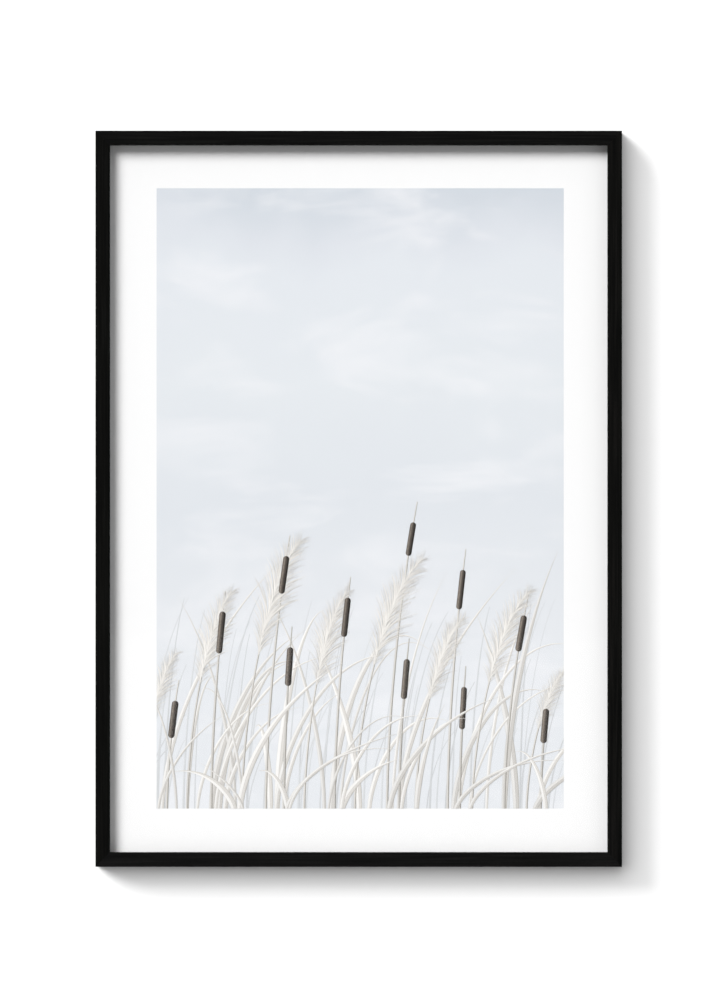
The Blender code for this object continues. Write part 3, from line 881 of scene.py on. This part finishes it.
def stage_plane(name, corners, material):
    """A plane that belongs to the studio."""
    shape = bmesh.new()
    shape.faces.new([shape.verts.new(corner) for corner in corners])
    item = shape_object(name, shape, material)
    item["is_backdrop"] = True
    return item


def stage_paint(name, code, roughness):
    """Flat paint. Only its front is opaque, so that the frame can be seen from behind and from below."""
    numbers = {"Base_Color": linear(code), "Roughness": roughness, "Specular_IOR_Level": 0.1}
    material, tree = start_material(name, **numbers)
    shader = tree.nodes["Principled BSDF"]
    behind = add(tree, "ShaderNodeNewGeometry").outputs["Backfacing"]
    clear = add(tree, "ShaderNodeBsdfTransparent")
    surface = add(tree, "ShaderNodeMixShader", {0: behind, 1: shader, 2: clear})
    tree.links.new(output_of(surface), tree.nodes["Material Output"].inputs["Surface"])
    return material


def make_stage():
    """The wall, and a floor below the view that throws no light on the frame."""
    low = cad_low.z - FLOOR_DROP
    spans = [(-1, 0), (1, 0), (1, 1), (-1, 1)]
    wall = [(u * WALL_REACH, WALL_GAP, low + v * WALL_HEIGHT) for u, v in spans]
    wall = stage_plane("wall", wall, stage_paint("flat_wall_paint", "#f0f0f0", 0.95))
    spans = [(-1, -1), (1, -1), (1, 1), (-1, 1)]
    floor = [(u * FLOOR_REACH, v * FLOOR_REACH, low) for u, v in spans]
    floor = stage_plane("floor", floor, stage_paint("pale_floor_paint", "#dededc", 0.8))
    floor.visible_diffuse = False
    return wall, floor


def add_suns(suns):
    """Hangs up these suns, and gives each one's settings for what it lights and what shades it."""
    links = []
    for name, (come_from, strength, spread) in suns.items():
        light = bpy.data.lights.new(name, "SUN")
        light.energy = strength
        light.angle = spread
        sun = new_object(name, light)
        sun.rotation_euler = come_from.to_track_quat("Z", "Y").to_euler()
        links.append(sun.light_linking)
    return links


def gather(name, items):
    """A collection that a light can be linked to."""
    collection = bpy.data.collections.new(name)
    bpy.context.scene.collection.children.link(collection)
    for item in items:
        collection.objects.link(item)
    return collection


def make_lights(stage):
    """A key from the upper left. The wall has two of its own, one of them raking, so that the shadow on it
    fades slowly. The lights behind pass the wall, which would hide the frame's back from them."""
    pieces = gather("lit_pieces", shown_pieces())
    lit_stage = gather("lit_stage", stage)
    for link in add_suns(KEY):
        link.receiver_collection = pieces
    for link in add_suns(WALL_LIGHTS):
        link.receiver_collection = lit_stage
    for link in add_suns(BACK_LIGHTS):
        link.blocker_collection = pieces


def make_world():
    """Soft light all round, darker on the camera's side. The camera itself sees an even white."""
    world = bpy.data.worlds.new("studio")
    world.use_nodes = True
    bpy.context.scene.world = world
    tree = world.node_tree
    towards = add(tree, "ShaderNodeTexCoord").outputs["Generated"]
    slope = add(tree, "ShaderNodeVectorMath", {0: towards, 1: SKY_SLOPE}, operation="DOT_PRODUCT")
    slope = add(tree, "ShaderNodeMath", {0: slope, 1: 1.0}, operation="ADD")
    slope = add(tree, "ShaderNodeMath", {0: slope, 1: 0.0}, operation="MAXIMUM")
    facing = add(tree, "ShaderNodeVectorMath", {0: towards, 1: TOWARDS_VIEWER}, operation="DOT_PRODUCT")
    rim, core = [math.cos(math.radians(angle)) for angle in (DARK_RIM, DARK_CORE)]
    cap = {"Value": facing, "From Min": rim, "From Max": core, "To Min": 1.0, "To Max": DARK_SHARE}
    light = {0: slope, 1: add(tree, "ShaderNodeMapRange", cap)}
    light = add(tree, "ShaderNodeMath", light, operation="MULTIPLY")
    light = add(tree, "ShaderNodeMath", {0: light, 1: SKY_STRENGTH}, operation="MULTIPLY")
    seen = add(tree, "ShaderNodeLightPath").outputs["Is Camera Ray"]
    strength = add(tree, "ShaderNodeMix", {"Factor": seen, "A": light, "B": 1.0}, data_type="FLOAT")
    tree.nodes["Background"].inputs["Color"].default_value = linear("#ffffff")
    tree.links.new(output_of(strength), tree.nodes["Background"].inputs["Strength"])


def make_camera():
    """Looks straight at the wall, as the photograph does, from far enough for the sides to stay hidden."""
    camera = new_object("camera", bpy.data.cameras.new("camera"))
    bpy.context.scene.camera = camera
    pixel = OUTER_HEIGHT / PHOTO_FRAME_HEIGHT
    camera.data.lens = LENS
    camera.data.sensor_width = SENSOR
    distance = PHOTO_HEIGHT * pixel * LENS / SENSOR
    across = (PHOTO_WIDTH / 2 - PHOTO_CENTRE[0]) * pixel
    down = (PHOTO_HEIGHT / 2 - PHOTO_CENTRE[1]) * pixel
    camera.location = (CENTRE.x + across, cad_low.y - distance, CENTRE.z - down)
    camera.rotation_euler = (math.pi / 2, 0, 0)


make_rails()
dress_kept_nodes()
make_print()
make_lights(make_stage())
make_world()
make_camera()
bpy.context.scene.view_settings.view_transform = "Standard"
